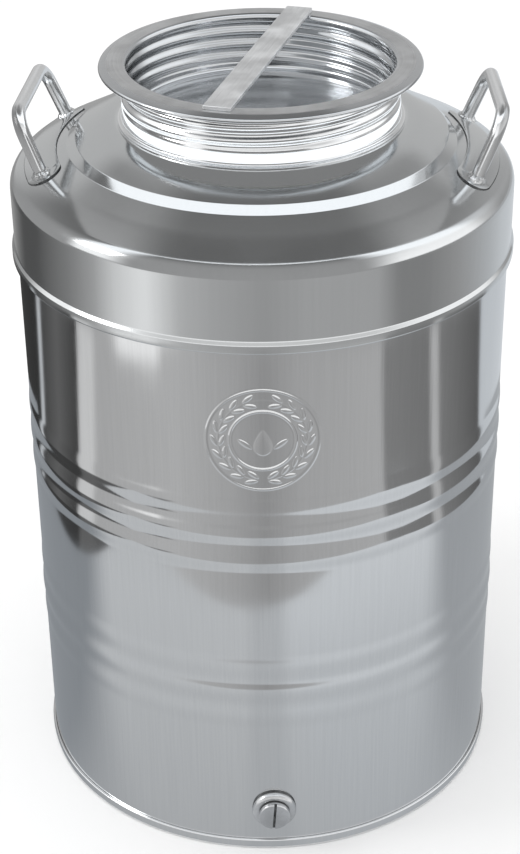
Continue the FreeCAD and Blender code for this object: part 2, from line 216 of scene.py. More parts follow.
def brushed(name, colour, roughness, groove_strength, along=None):
    """Brushed stainless, its scratches along one angle, or in circles where none is given."""
    material, tree = bare_material(name)
    place = add_node(tree, "TexCoord").outputs["Object"]
    if along is None:
        x, y, z = add_node(tree, "SeparateXYZ", [place]).outputs
        radius = add_node(
            tree, "VectorMath", [add_node(tree, "CombineXYZ", [x, y])], operation="LENGTH"
        )
        angle = add_node(tree, "Math", [x, y], operation="ARCTAN2")
        course = add_node(tree, "CombineXYZ", [
            add_node(tree, "Math", [radius, float(SCRATCHES_A_METRE)], operation="MULTIPLY"),
            add_node(tree, "Math", [angle, 1.5], operation="MULTIPLY"),
            z,
        ])
    else:
        course = add_node(tree, "Mapping", {
            "Vector": place, "Rotation": (0, 0, along),
            "Scale": (1 / SCRATCHES_A_METRE, 1 / 40, 1 / SCRATCHES_A_METRE),
        }, vector_type="TEXTURE")
    scratches = add_node(tree, "TexNoise", {
        "Vector": course, "Scale": 1.0, "Detail": 4.0, "Roughness": 0.65,
    })
    stains = add_node(tree, "TexNoise", {"Vector": place, "Scale": 45.0, "Detail": 5.0})
    blur = add_node(tree, "MapRange", {
        "Value": stains, "From Min": 0.3, "From Max": 0.7,
        "To Min": roughness * 0.85, "To Max": roughness * 1.2,
    })
    grooves = add_node(tree, "Bump", {
        "Height": scratches, "Strength": groove_strength, "Distance": 0.3 * MM,
    })
    worn = add_node(tree, "Mix", {"Factor": 0.35, "A": stains, "B": scratches})
    mottled = add_node(tree, "ValToRGB", [worn], stops=[
        (0.38, shaded(colour, 0.90)), (0.62, shaded(colour, 1.06)),
    ])
    return surfaced(material, {
        "Base Color": mottled, "Metallic": 1.0, "Roughness": blur, "Normal": grooves,
    })


flange_steel = brushed("turned_304_flange", "#c8c9ca", 0.34, groove_strength=0.5)
bar_steel = brushed(
    "brushed_304_flat_bar", "#eff0f1", 0.46, groove_strength=0.5, along=math.radians(BAR_ANGLE)
)
plug_steel = brushed("turned_304_plug", "#cfd0d1", 0.22, groove_strength=0.12, along=0.0)

# %% [markdown]
# ## Weld metal, rubber and painted shade in joints
# The weld round a handle's foot cooled in small ripples and was left bright, so it
# glitters. The lid's gasket is milky food-grade silicone, a soft rubber that is hardly
# glossy. It hides under the lid's flange. The plug's washer is black nitrile rubber.
# A dark grey painted into each joint stands for the shade there, and draws each welded piece's outline.
# All four are a fine noise in two tones, with a grain of 1 to 6 mm.


# %% Weld, rubbers and joint dirt
def speckled(name, grain, detail, stops, inputs, bump=None):
    """A finish mottled by fine noise, with a bump of (strength, millimetres) where it has one."""
    material, tree = bare_material(name)
    place = add_node(tree, "TexCoord").outputs["Object"]
    specks = add_node(tree, "TexNoise", {"Vector": place, "Scale": grain, "Detail": detail})
    inputs["Base Color"] = add_node(tree, "ValToRGB", [specks], stops=stops)
    if bump:
        strength, height = bump
        inputs["Normal"] = add_node(tree, "Bump", {
            "Height": specks, "Strength": strength, "Distance": height * MM,
        })
    return surfaced(material, inputs)


weld_steel = speckled(
    "bright_tig_weld", 700.0, 2.0, [(0.35, "#b9bbbd"), (0.65, "#eceded")],
    {"Metallic": 1.0, "Roughness": 0.22}, bump=(0.5, 0.6),
)
gasket_rubber = speckled(
    "milky_silicone_rubber", 900.0, 2.0, [(0.3, "#d6d5cf"), (0.7, "#e4e3de")],
    {"IOR": 1.41, "Roughness": 0.55}, bump=(0.15, 0.2),
)
# painted shade: one dark grey for the shade in joints, slots and round welded feet
painted_joint_shade = speckled(
    "painted_shade_in_joints", 160.0, 3.0, [(0.35, "#3d3e3f"), (0.65, "#717273")],
    {"Metallic": 0.6, "Roughness": 0.5},
)
washer_rubber = speckled(
    "black_nitrile_rubber", 900.0, 2.0, [(0.3, "#262627"), (0.7, "#353637")],
    {"IOR": 1.52, "Roughness": 0.5},
)


def paint_shade_on_faces(piece, test):
    """Paints the shade of a joint on faces that pass the test, by their middle and normal."""
    piece.data.materials.append(painted_joint_shade)
    last = len(piece.data.materials) - 1
    found = [face for face in piece.data.polygons if test(face.center / MM, face.normal)]
    for face in found:
        face.material_index = last
    print(piece.name, "faces in the joint", len(found))


# %% [markdown]
# ## From a path to sheet metal
# Every pressed or rolled piece is a thin sheet that was turned about the drum's axis. So
# each starts as a path of radius and height, with a bend radius at each corner. One helper
# rounds the corners, another gives the path its thickness, and a third turns the closed
# outline. A Screw modifier could do the last step too, but numbers leave room for the
# helical neck, and put the seam of the mesh at the back.


# %% Path helpers
def heading(a, b):
    """The direction from one point to the next, as a unit step."""
    length = math.hypot(b[0] - a[0], b[1] - a[1])
    return (b[0] - a[0]) / length, (b[1] - a[1]) / length


def moved_left(path, distance):
    """The path moved sideways, with each bend grown or shrunk to match."""
    result = []
    last = len(path) - 1
    for i, point in enumerate(path):
        before = heading(path[max(i - 1, 0)], path[max(i, 1)])
        after = heading(path[min(i, last - 1)], path[min(i + 1, last)])
        turn = before[0] * after[1] - before[1] * after[0]
        share = distance / (1 + before[0] * after[0] + before[1] * after[1])
        bend = point[2] - distance * (1 if turn > 0 else -1) if point[2] else 0.0
        shifted = (point[0] - share * (before[1] + after[1]), point[1] + share * (before[0] + after[0]))
        result.append(shifted + (bend,))
    return result


def round_corners(path, step=9.0):
    """Points along the path, with an arc in steps of so many degrees at each bend."""
    points = [path[0][:2]]
    for i in range(1, len(path) - 1):
        corner = path[i]
        before = heading(path[i - 1], corner)
        after = heading(corner, path[i + 1])
        turn = math.atan2(
            before[0] * after[1] - before[1] * after[0], before[0] * after[0] + before[1] * after[1]
        )
        if not corner[2] or abs(turn) < 1e-6:
            points.append(corner[:2])
            continue
        reach = corner[2] * math.tan(abs(turn) / 2)
        side = 1 if turn > 0 else -1
        start = (corner[0] - before[0] * reach, corner[1] - before[1] * reach)
        centre = (start[0] - side * before[1] * corner[2], start[1] + side * before[0] * corner[2])
        count = max(2, int(abs(math.degrees(turn)) / step) + 1)
        for k in range(count + 1):
            a = turn * k / count
            ray = (start[0] - centre[0], start[1] - centre[1])
            points.append((
                centre[0] + ray[0] * math.cos(a) - ray[1] * math.sin(a),
                centre[1] + ray[0] * math.sin(a) + ray[1] * math.cos(a),
            ))
    points.append(path[-1][:2])
    return points


def sheet(path, thickness, step=9.0):
    """A closed outline: the path, and back along the other side of the sheet."""
    return round_corners(path, step) + round_corners(moved_left(path, thickness), step)[::-1]


corner_points = round_corners([(0, 0, 0), (10, 0, 5), (10, 10, 0)])
print("a square corner bent to 5 mm has", len(corner_points), "points")

# %% [markdown]
# ## From points to a mesh
# `from_pydata` builds a mesh straight from points and faces, so a piece is exactly as it
# was measured. Rings of points are joined with quads, and the normals are turned out of
# the metal. Shading is smooth, apart from the edges that are sharper than an angle.


# %% Mesh helpers
def ring(angles, radii, height):
    """A level ring of points at these angles, with one radius or a radius for each."""
    a = np.radians(angles)
    return np.column_stack([radii * np.sin(a), -radii * np.cos(a), np.full(a.shape, height)])


def around(segments):
    """The angles of so many even steps round the drum, from its back."""
    return 180 + 360 * np.arange(segments) / segments


def make_object(name, points, faces, material, sharp=32.0):
    """A smooth-shaded object from points in millimetres, with edges kept sharp past an angle."""
    mesh = bpy.data.meshes.new(name)
    mesh.from_pydata((np.asarray(points) * MM).tolist(), [], faces)
    mesh.validate()
    mesh.polygons.foreach_set("use_smooth", [True] * len(mesh.polygons))
    mesh.set_sharp_from_angle(angle=math.radians(sharp))
    mesh.materials.append(material)
    piece = bpy.data.objects.new(name, mesh)
    bpy.context.scene.collection.objects.link(piece)
    return piece


def skinned(name, rings, material, closed=True, sharp=32.0):
    """Joins rings of equally many points with quads."""
    count, size = len(rings), len(rings[0])
    faces = []
    for i in range(count if closed else count - 1):
        j = (i + 1) % count
        for k in range(size):
            n = (k + 1) % size
            faces.append((i * size + k, i * size + n, j * size + n, j * size + k))
    piece = make_object(name, np.vstack(rings), faces, material, sharp)
    face_outward(piece)
    return piece


def turned(name, outline, material, segments=240):
    """Turns an outline of (radius, height) points about the drum's axis."""
    apart = [
        point for i, point in enumerate(outline)
        if i == 0 or math.dist(point, outline[i - 1]) > 1e-4
    ]
    return skinned(name, [ring(around(segments), r, z) for r, z in apart], material)


def face_outward(piece):
    """Turns the faces so that their normals point out of the metal."""
    shape = bmesh.new()
    shape.from_mesh(piece.data)
    bmesh.ops.recalc_face_normals(shape, faces=shape.faces)
    shape.to_mesh(piece.data)
    shape.free()


# %% [markdown]
# ## Seating a piece
# A piece that is only placed would stay behind when a joint moves. So each one rides on a
# body of the CAD model, and hides the CAD nodes that it stands for.


# %% Seating
def seat(piece, body, *nodes, slot):
    """Lets a piece ride on a body and hide the CAD nodes it stands for; its slot is not used."""
    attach(piece, body)
    if nodes:
        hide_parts(*nodes)
    print(piece.name, len(piece.data.polygons), "faces")


# %% [markdown]
# ## The barrel
# One sheet 0.6 mm thick, rolled up and welded, with two groups of three ribs rolled
# outward. A rib is under a millimetre high, and is only seen because it bends the
# reflections. A raised cosine gives it soft feet and a soft crown, which is how a rib
# rolled between two wheels comes out. Loop cuts pulled by hand would never be as even.

# %% Barrel with ribs
RIBS = [(130.7, 0.60), (154.0, 0.96), (177.3, 0.50), (274.2, 0.82), (297.5, 0.95), (320.8, 0.70)]
RIB_PITCH = 23.3


def rib_height(z):
    """How far the ribs stand out of the wall at a height."""
    return sum(
        height * math.cos(math.pi * (z - middle) / RIB_PITCH) ** 2
        for middle, height in RIBS if abs(z - middle) < RIB_PITCH / 2
    )


ribbed = [np.arange(low, low + 72, 1.2) for low in (118, 261.5)]
plain = [np.arange(10, 118, 6.0), np.arange(190, 261, 6.0), np.arange(334, 447, 6.0)]
levels = [0.9] + sorted(np.concatenate(ribbed + plain).tolist()) + [451.5]
outside = [(BARREL_R + rib_height(z), z) for z in levels]
inside = [(BARREL_R - BARREL_SHEET + rib_height(z), z) for z in levels[::3] + levels[-1:]]
barrel = turned("barrel_sheet", outside + inside[::-1], barrel_steel)
seat(barrel, "drum", "barrel_shell", slot="polished_sheet")

# %% [markdown]
# The rolled sheet's two edges meet at the back in a butt weld, which was ground nearly
# flush. It stays as a strip 4.6 mm wide and a quarter of a millimetre high, with faint
# ripples, and follows the ribs, which were rolled after the weld.

# %% Seam weld
seam_rows = np.arange(9.0, 444.0, 0.8)
seam_across = [
    (-2.3, -0.1), (-1.6, 0.12), (-0.8, 0.24), (0.0, 0.28), (0.8, 0.24), (1.6, 0.12), (2.3, -0.1)
]
seam_points = [
    compass(
        180 + math.degrees(x / BARREL_R),
        BARREL_R + rib_height(z) + lift + 0.05 * math.sin(z * 2.6),
        z,
    )
    for z in seam_rows for x, lift in seam_across
]
columns = len(seam_across)
seam_faces = [
    (i * columns + k, i * columns + k + 1, (i + 1) * columns + k + 1, (i + 1) * columns + k)
    for i in range(len(seam_rows) - 1) for k in range(columns - 1)
]
seam = make_object("barrel_seam_weld", seam_points, seam_faces, barrel_steel, sharp=70.0)
seat(seam, "drum", slot="polished_sheet")

# %% [markdown]
# ## Embossed medallion
# A stamp pushed a round ornament out of the sheet by up to 0.7 mm: two rings, a wreath of
# narrow leaves and a drop of oil. It is a height map on a fine grid wrapped round the
# barrel. Sculpting would do it too, but a wreath drawn from one leaf stays even.

# %% Medallion relief
INNER_RING, WREATH, OUTER_RING = 23.5, 31.8, 40.2


def leaf(u, v, length, width):
    """A pointed leaf along u, 1 at its middle and 0 at its rim."""
    return np.clip(1 - (u / length) ** 2 - np.abs(v / width) ** 1.6, 0, 1) ** 0.6


def medallion_height(u, v):
    """The relief at so far to the right and up from the middle."""
    r, t = np.hypot(u, v), np.arctan2(np.abs(u), -v)
    height = 0.62 * np.exp(-((r - INNER_RING) / 1.0) ** 2)
    height += 0.40 * np.exp(-((r - OUTER_RING) / 0.9) ** 2)
    height -= 0.30 * np.exp(-((r - INNER_RING - 2.1) / 0.8) ** 2)
    height += 0.18 * np.exp(-((r - WREATH) / 0.6) ** 2) * (t > 0.12)
    for k in range(9):
        angle = math.radians(14 + 18.6 * k)
        for row in (-1, 1):
            along = r * np.sin(t - angle)
            across = r * np.cos(t - angle) - WREATH - row * 2.9
            tilt = row * math.radians(24)
            a = along * math.cos(tilt) + across * math.sin(tilt)
            b = -along * math.sin(tilt) + across * math.cos(tilt)
            height = np.maximum(height, 0.62 * leaf(a, b, 5.0, 1.8))
    drop = leaf(v + 2.0, u, 10.5, 6.2 - 0.28 * (v + 2.0))
    height = np.maximum(height, 0.70 * drop)
    for turn in (-1, 1):
        a = (u - turn * 12.5) * 0.8 * turn + (v + 3.0) * 0.6
        b = -(u - turn * 12.5) * 0.6 * turn + (v + 3.0) * 0.8
        height = np.maximum(height, 0.55 * leaf(a, b, 6.5, 2.0))
    return height


print("the drop stands", medallion_height(np.array(0.0), np.array(-2.0)).round(2), "mm out")

# %% [markdown]
# The grid is bent to the barrel's radius, and only its round middle is kept. Its rim lies
# four hundredths of a millimetre out of the wall, which is too little to see.

# %% Medallion on the barrel
MEDALLION_ANGLE, MEDALLION_Z, MEDALLION_R = -1.7, 376.0, 42.5
span = np.linspace(-MEDALLION_R, MEDALLION_R, 205)
u, v = np.meshgrid(span, span)
radius = BARREL_R + 0.04 + medallion_height(u, v)
angle = math.radians(MEDALLION_ANGLE) + u / BARREL_R
grid = np.column_stack([
    (radius * np.sin(angle)).ravel(), (-radius * np.cos(angle)).ravel(), (MEDALLION_Z + v).ravel()
])
keep = np.hypot(u, v) < MEDALLION_R
index = np.arange(grid.shape[0]).reshape(u.shape)
inside_patch = keep[:-1, :-1] & keep[1:, :-1] & keep[1:, 1:] & keep[:-1, 1:]
corners = [index[:-1, :-1], index[:-1, 1:], index[1:, 1:], index[1:, :-1]]
quads = np.stack(corners, axis=-1)[inside_patch]
used, renumbered = np.unique(quads, return_inverse=True)
medallion = make_object(
    "medallion_relief", grid[used], renumbered.reshape(-1, 4).tolist(), barrel_steel, sharp=80.0
)
seat(medallion, "drum", slot="polished_sheet")

# %% [markdown]
# ## The bottom
# A recessed disc, whose rim is folded over the barrel's edge into a bead. Every drum
# stands on that bead, so the disc itself never scrapes the floor.

# %% Bottom pan
pan_path = [
    (1.0, 13.0, 0), (178.0, 11.0, 12.0), (183.7, 10.0, 3.0), (183.7, 0.0, 1.1),
    (187.2, 0.0, 1.2), (187.2, 8.6, 1.3), (185.15, 8.6, 0.4), (185.15, 2.5, 0),
]
bottom = turned("bottom_pan_pressing", sheet(pan_path, BARREL_SHEET, 15.0), barrel_steel)
seat(bottom, "drum", "bottom_pan", slot="polished_sheet")

# %% [markdown]
# ## The shoulder
# A deep pressing, drawn from one disc. From the neck outward it has a flat platform, a
# step, a slope with a soft crown, and a straight band whose lower edge is rolled with the
# barrel into a bead. The corner between slope and band has the largest bend, because the
# sheet would tear round a small one.

# %% Shoulder pressing
shoulder_path = [
    (101.0, PLATFORM_Z, 0), (107.0, PLATFORM_Z, 10.0), (120.0, 541.5, 70.0),
    (EDGE_R, EDGE_Z, 2.6), (FOOT_R, FOOT_Z, 3.0), (CROWN_R, CROWN_Z, 90.0),
    (BAND_R, BAND_TOP, 14.0), (BAND_R, 454.6, 1.8), (189.0, BARREL_TOP, 1.4),
    (189.0, 445.6, 1.8), (186.6, 445.0, 1.0), (185.1, 446.4, 0.3), (185.1, 449.0, 0),
]
shoulder_sheet = sheet(shoulder_path, -SHOULDER_SHEET, 7.0)
shoulder = turned("shoulder_pressing", shoulder_sheet, shoulder_steel)
seat(shoulder, "drum", "shoulder_dome", slot="polished_sheet")

# %% [markdown]
# ## Rolled thread of neck and lid
# Neck and lid screw together on one coarse rolled thread: a wave that climbs 10 mm a turn.
# The neck is a tube with the wave pressed inward, and the lid's cup has it pressed
# outward, so the two walls run side by side with 0.4 mm between them. The radius is one
# function of height and angle, so both walls are exact at every point and still fit when
# the lid turns. The wave fades out towards the ends, as the rolling tool leaves it.


# %% The wave
COMPASS = around(240)


def ridge(height, angle):
    """The wave at a height and angle: 1 on its crest and 0 in its groove."""
    return 0.5 + 0.5 * np.cos(2 * np.pi * ((height - CREST_Z) / PITCH - angle / 360))


def fading(height, low, high):
    """1 along the thread, and down to 0 within 0.6 of a turn at its ends."""
    share = max(0.0, min(1.0, (height - low) / (0.6 * PITCH), (high - height) / (0.6 * PITCH)))
    return share * share * (3 - 2 * share)


print("the crest stands at", CREST_Z, "mm in front, climbing", PITCH, "mm a turn")

# %% [markdown]
# ## The neck
# A tube that stands on the platform with a small welded foot. Its mouth is curled
# outward over a wire's width, which makes the rim stiff and gives the gasket a smooth seat.

# %% Neck
NECK_LOW, NECK_HIGH = 554.5, NECK_TOP - 3.4
NECK_BORE = NECK_R - NECK_SHEET
FOOT_BOTTOM, FOOT_TOP, FOOT_EDGE = 545.05, 546.05, 105.4


def neck_wall(height, wall):
    """The ring of the neck at a height, and so far in from its outside."""
    groove = DEPTH * fading(height, 555.5, NECK_HIGH) * (1 - ridge(height, COMPASS))
    return ring(COMPASS, NECK_R - groove - wall, height)


foot = round_corners([
    (NECK_R, NECK_LOW, 0), (NECK_R, FOOT_TOP, 2.4), (FOOT_EDGE, FOOT_TOP, 0.3),
    (FOOT_EDGE, FOOT_BOTTOM, 0),
])
curl = round_corners([
    (NECK_R, NECK_HIGH, 0), (NECK_R, NECK_TOP - 1.0, 0.69), (104.4, NECK_TOP - 1.0, 0.69),
    (104.4, NECK_TOP - 3.5, 0),
])
curl_back = round_corners([
    (105.4, NECK_TOP - 3.5, 0), (105.4, NECK_TOP, 1.69), (NECK_BORE, NECK_TOP, 1.69),
    (NECK_BORE, NECK_HIGH, 0),
])
heights = np.arange(NECK_LOW + 0.4, NECK_HIGH - 0.2, 0.4)
neck_rings = [ring(COMPASS, r, z) for r, z in foot[::-1]]
neck_rings += [neck_wall(z, 0.0) for z in heights]
neck_rings += [ring(COMPASS, r, z) for r, z in curl + curl_back]
neck_rings += [neck_wall(z, NECK_SHEET) for z in heights[::-1]]
neck_rings += [ring(COMPASS, NECK_BORE, z) for z in (NECK_LOW, FOOT_BOTTOM)]
neck = skinned("neck_tube", neck_rings, neck_steel)
seat(neck, "drum", "neck_ring", slot="polished_sheet")

# %% [markdown]
# ## The lid
# The lid is a deep cup with a wide flange. Its wall carries the same wave as the neck,
# pressed outward, and the flange's edge is bent down and curled in, which stiffens it and
# leaves no sharp edge to the hand.

# %% Lid cup
LID_R = NECK_R - NECK_SHEET - DEPTH - THREAD_GAP
LID_LOW, LID_HIGH, CUP_FLOOR = 548.5, 584.3, 544.5


def lid_wall(height, wall):
    """The ring of the lid's wall at a height, and so far in from its outside."""
    swell = DEPTH * fading(height, LID_LOW, LID_HIGH) * ridge(height, COMPASS)
    return ring(COMPASS, LID_R + swell - wall, height)


bore = LID_R - LID_SHEET
flange_path = [
    (bore, LID_HIGH, 0), (bore, FLANGE_TOP, 3.6), (FLANGE_R - 6.3, FLANGE_TOP, 9.0),
    (FLANGE_R, FLANGE_TOP - 2.2, 2.2), (FLANGE_R, 583.0, 1.6), (FLANGE_R - 4.1, 583.0, 0),
]
floor_path = [(bore, LID_LOW, 0), (bore, CUP_FLOOR, 3.8), (60.0, CUP_FLOOR, 0), (1.0, CUP_FLOOR, 0)]
flange = round_corners(flange_path) + round_corners(moved_left(flange_path, -LID_SHEET))[::-1]
heights = np.arange(LID_LOW + 0.4, LID_HIGH - 0.2, 0.4)
lid_rings = [ring(COMPASS, r, z) for r, z in round_corners(floor_path)[::-1]]
lid_rings += [lid_wall(z, LID_SHEET) for z in heights]
lid_rings += [ring(COMPASS, r, z) for r, z in flange]
lid_rings += [lid_wall(z, 0.0) for z in heights[::-1]]
lid_rings += [ring(COMPASS, r, z) for r, z in round_corners(moved_left(floor_path, LID_SHEET))]
lid = skinned("lid_cup_pressing", lid_rings, lid_steel)
seat(lid, "lid", "lid_cup", slot="brushed_sheet")

# %% [markdown]
# The flange was faced bright and then brushed, while the cup below it kept the polish of
# the sheet. So the lid carries two materials, and each face takes one by where it lies.

# %% Two finishes on the lid
BRUSHED_R = 111.5
lid.data.materials.append(flange_steel)
for face in lid.data.polygons:
    x, y, z = face.center / MM
    if math.hypot(x, y) < BRUSHED_R and z > FLANGE_TOP - LID_SHEET and face.normal.z > 0.97:
        face.material_index = 1
print("brushed faces", sum(face.material_index for face in lid.data.polygons))

# %% [markdown]
# ## Cross bar
# Plain flat stock of 20 by 3 mm, cut square and spot-welded across the flange. Only its
# long edges were eased. A cube with a bevel modifier is the natural way to make it: the
# bevel is what catches the light along each edge.


# %% Cross bar
def bevelled_box(name, size, centre, turn, width, material):
    """A box in millimetres, turned by so many degrees, with all its edges eased."""
    ends = (-0.5, 0.5)
    corners = np.array([(x, y, z) for x in ends for y in ends for z in ends]) * size
    a = math.radians(turn)
    spin = np.array([[math.cos(a), -math.sin(a), 0], [math.sin(a), math.cos(a), 0], [0, 0, 1]])
    faces = [(0, 1, 3, 2), (4, 6, 7, 5), (0, 4, 5, 1), (2, 3, 7, 6), (0, 2, 6, 4), (1, 5, 7, 3)]
    piece = make_object(name, corners @ spin.T + centre, faces, material)
    face_outward(piece)
    bevel = piece.modifiers.new("eased_edges", "BEVEL")
    bevel.width = width * MM
    bevel.segments = 3
    bevel.limit_method = "NONE"
    bpy.context.view_layer.objects.active = piece
    bpy.ops.object.modifier_apply(modifier=bevel.name)
    return piece


bar_size = (20.0, 217.0, 3.0)
bar_middle = (0, 0, FLANGE_TOP + bar_size[2] / 2)
bar = bevelled_box("cross_bar_flat", bar_size, bar_middle, BAR_ANGLE, 0.5, bar_steel)
seat(bar, "lid", "lid_bar", slot="brushed_bar")

# %% [markdown]
# ## Gasket
# A flat ring, pinched between the neck's curled mouth and the underside of the flange. It
# stays on the neck when the lid is screwed off.

# %% Gasket
ring_path = [(100.5, 583.85), (105.3, 583.85), (105.3, 586.75), (100.5, 586.75)]
gasket = turned("lid_gasket_ring", ring_path, gasket_rubber, segments=160)
seat(gasket, "gasket", "lid_gasket", slot="gasket_rubber")

# %% [markdown]
# ## Handles
# Each handle is a 10 mm rod bent into a loop that leans outward, welded to a curved plate
# that follows the shoulder. A tube swept along a line with true arcs keeps the rod round
# in its bends, which a bevelled Bezier curve would squeeze.


# %% Rod helpers
FOOT_RADIUS, SPAN = 165.0, 116.6


def slope_height(radius):
    """The height of the shoulder's slope at a radius."""
    if radius < CROWN_R:
        return CROWN_Z + (FOOT_Z - CROWN_Z) * (CROWN_R - radius) / (CROWN_R - FOOT_R)
    return CROWN_Z - (CROWN_Z - BAND_TOP) * (radius - CROWN_R) / (BAND_R - CROWN_R)


def unit(v):
    """The vector at length 1."""
    return v / np.linalg.norm(v)


def bent_line(points, bend, step=6.0):
    """A line through the points with an arc of one radius at each inner point."""
    line = [points[0]]
    for a, b, c in zip(points, points[1:], points[2:]):
        into, out = unit(b - a), unit(c - b)
        turn = math.acos(np.clip(np.dot(into, out), -1, 1))
        reach = bend * math.tan(turn / 2)
        start = b - into * reach
        side = unit(out - into * np.dot(out, into))
        count = int(math.degrees(turn) / step) + 1
        for k in range(count + 1):
            t = turn * k / count
            line.append(start + into * bend * math.sin(t) + side * bend * (1 - math.cos(t)))
    return line + [points[-1]]


def swept_rod(name, line, radius, plane, material, sides=28):
    """A round rod along a line that lies in one plane, whose normal is given."""
    angles = 2 * np.pi * np.arange(sides) / sides
    rings = []
    for i, point in enumerate(line):
        tangent = unit(line[min(i + 1, len(line) - 1)] - line[max(i - 1, 0)])
        across = unit(np.cross(plane, tangent))
        circle = np.outer(np.cos(angles), plane) + np.outer(np.sin(angles), across)
        rings.append(point + radius * circle)
    return skinned(name, rings, material, closed=False)


print("the slope under a handle stands at", round(slope_height(FOOT_RADIUS), 1), "mm")

# %% [markdown]
# ## Weld beads
# The welder went round each foot of a rod by hand, so the bead is thick at the plate, thin
# at the rod, and uneven. Two sine waves of different count give it uneven ripples.


# %% Weld bead
def weld_collar(name, centre, axis, radius, material):
    """A rippled bead of weld round a rod's foot, thickest at the plate."""
    side = unit(np.cross(axis, [0.3, 0.1, 1.0]))
    other = np.cross(axis, side)
    outline = [
        (radius - 0.8, 4.2), (radius + 0.5, 3.6), (radius + 1.6, 2.4), (radius + 2.5, 1.2),
        (radius + 3.0, 0.2), (radius + 3.0, -1.6), (radius - 0.8, -1.6),
    ]
    rings = []
    for k in range(72):
        a = 2 * math.pi * k / 72
        ray = side * math.cos(a) + other * math.sin(a)
        ripple = 0.22 * math.sin(11 * a) + 0.15 * math.sin(17 * a + 1)
        rings.append(np.array([
            centre + ray * (r + ripple * (0.2 < z < 3.7)) + axis * z for r, z in outline
        ]))
    return skinned(name, rings, material, closed=True, sharp=70.0)


print("a bead is", 2 * (ROD_R + 3.0), "mm across")

# %% [markdown]
# ## Base plates
# A strip of the same sheet with round ends, pressed to the shoulder's slope and welded on.
# It spreads the pull of a handle over thin sheet. Across, the strip is a flat top with an
# eased rim, and stations along its length give it the round ends.


# %% Base plates
PLATE_INNER, PLATE_OUTER = 151.5, 175.5


def base_plate(name, middle, half_angle, material):
    """A strip of sheet that follows the shoulder, with round ends and an eased rim."""
    centre, half = (PLATE_INNER + PLATE_OUTER) / 2, (PLATE_OUTER - PLATE_INNER) / 2
    cap = math.degrees(half / centre)
    rows = []
    for t in np.radians(np.linspace(90, 0, 14)):
        rows.append((middle - (half_angle + cap * math.sin(t)), max(math.cos(t), 0.02)))
    rows += [(middle + share * half_angle, 1.0) for share in np.linspace(-1, 1, 41)]
    for t in np.radians(np.linspace(0, 90, 14)):
        rows.append((middle + (half_angle + cap * math.sin(t)), max(math.cos(t), 0.02)))
    rim = [(-1.0, -0.1), (-1.0, 0.7), (-0.985, 1.02), (-0.95, 1.2), (-0.5, 1.2)]
    across = rim + [(0.0, 1.2)] + [(-u, lift) for u, lift in rim[::-1]]
    rings = []
    for angle, width in rows:
        radii = [centre + u * width * half for u, lift in across]
        rings.append(np.array([
            compass(angle, radius, slope_height(radius) + 0.05 + lift)
            for radius, (u, lift) in zip(radii, across)
        ]))
    return skinned(name, rings, material, closed=False, sharp=50.0)


print("a base plate is", PLATE_OUTER - PLATE_INNER, "mm wide")

# %% [markdown]
# ## Both handles
# Each handle is the same rod, but years of carrying have bent the grips a little, so the
# two corners of each have their own height. The plate's rim gets a dark line of painted shade.

# %% Both handles
ROD_BEND, ROD_LEAN = 17.0, math.radians(21.5)
GRIP_HEIGHTS = {"left": (44.5, 46.0), "right": (50.0, 43.5)}
foot_angle = math.degrees(math.asin(0.5 * SPAN / FOOT_RADIUS))
for side, middle in HANDLE_ANGLES.items():
    plate = base_plate("handle_plate_strip_" + side, middle, foot_angle, shoulder_steel)
    seat(plate, "drum", "handle_plate_" + side, slot="polished_sheet")
    # painted shade on the plate's steep rim
    paint_shade_on_faces(plate, lambda p, n: n.z < 0.55)
    feet = [
        compass(middle + end * foot_angle, FOOT_RADIUS, slope_height(FOOT_RADIUS))
        for end in (-1, 1)
    ]
    along = unit(feet[1] - feet[0])
    rise = np.array([0, 0, 1]) * math.cos(ROD_LEAN) + compass(middle, 1) * math.sin(ROD_LEAN)
    corners = [
        foot_point + rise * grip + along * inward
        for foot_point, grip, inward in zip(feet, GRIP_HEIGHTS[side], (4, -4))
    ]
    line = bent_line([feet[0] - rise, *corners, feet[1] - rise], ROD_BEND)
    rod = swept_rod("handle_rod_" + side, line, ROD_R, np.cross(along, rise), rod_steel)
    seat(rod, "drum", "handle_" + side, slot="polished_rod")
    for end, foot_point, corner in zip("ab", feet, corners):
        weld_name = "handle_weld_" + side + "_" + end
        collar = weld_collar(weld_name, foot_point, unit(corner - foot_point), ROD_R, weld_steel)
        seat(collar, "drum", slot="polished_rod")

# %% [markdown]
# ## Drain boss and plug
# A turned boss is welded into the barrel low on the front, and a slotted plug closes it.
# Both are turned parts, so they are made as the drum's own sheets are, and then laid on
# their side. The slot is cut with a Boolean modifier, as a saw would cut it.


# %% Drain helpers
def lay_on_drain(piece):
    """Turns a piece made upright about Z so that +Z becomes the drain's outward axis."""
    spin = Matrix.Translation(Vector((0, 0, DRAIN_Z * MM))) @ Matrix.Rotation(math.radians(90), 4, "X")
    piece.data.transform(spin)
    piece.data.update()
    return piece


def cut_slot(piece, width, depth, face, turn):
    """Saws a straight slot across the end of a turned piece."""
    cutter = bevelled_box("slot_cutter", (width, 60.0, 2 * depth), (0, 0, face), turn, 0.15, plug_steel)
    cut = piece.modifiers.new("slot", "BOOLEAN")
    cut.object = cutter
    cut.solver = "EXACT"
    bpy.context.view_layer.objects.active = piece
    bpy.ops.object.modifier_apply(modifier=cut.name)
    bpy.data.objects.remove(cutter)
    piece.data.set_sharp_from_angle(angle=math.radians(30))


print("the drain's axis lies", DRAIN_Z, "mm above the floor")
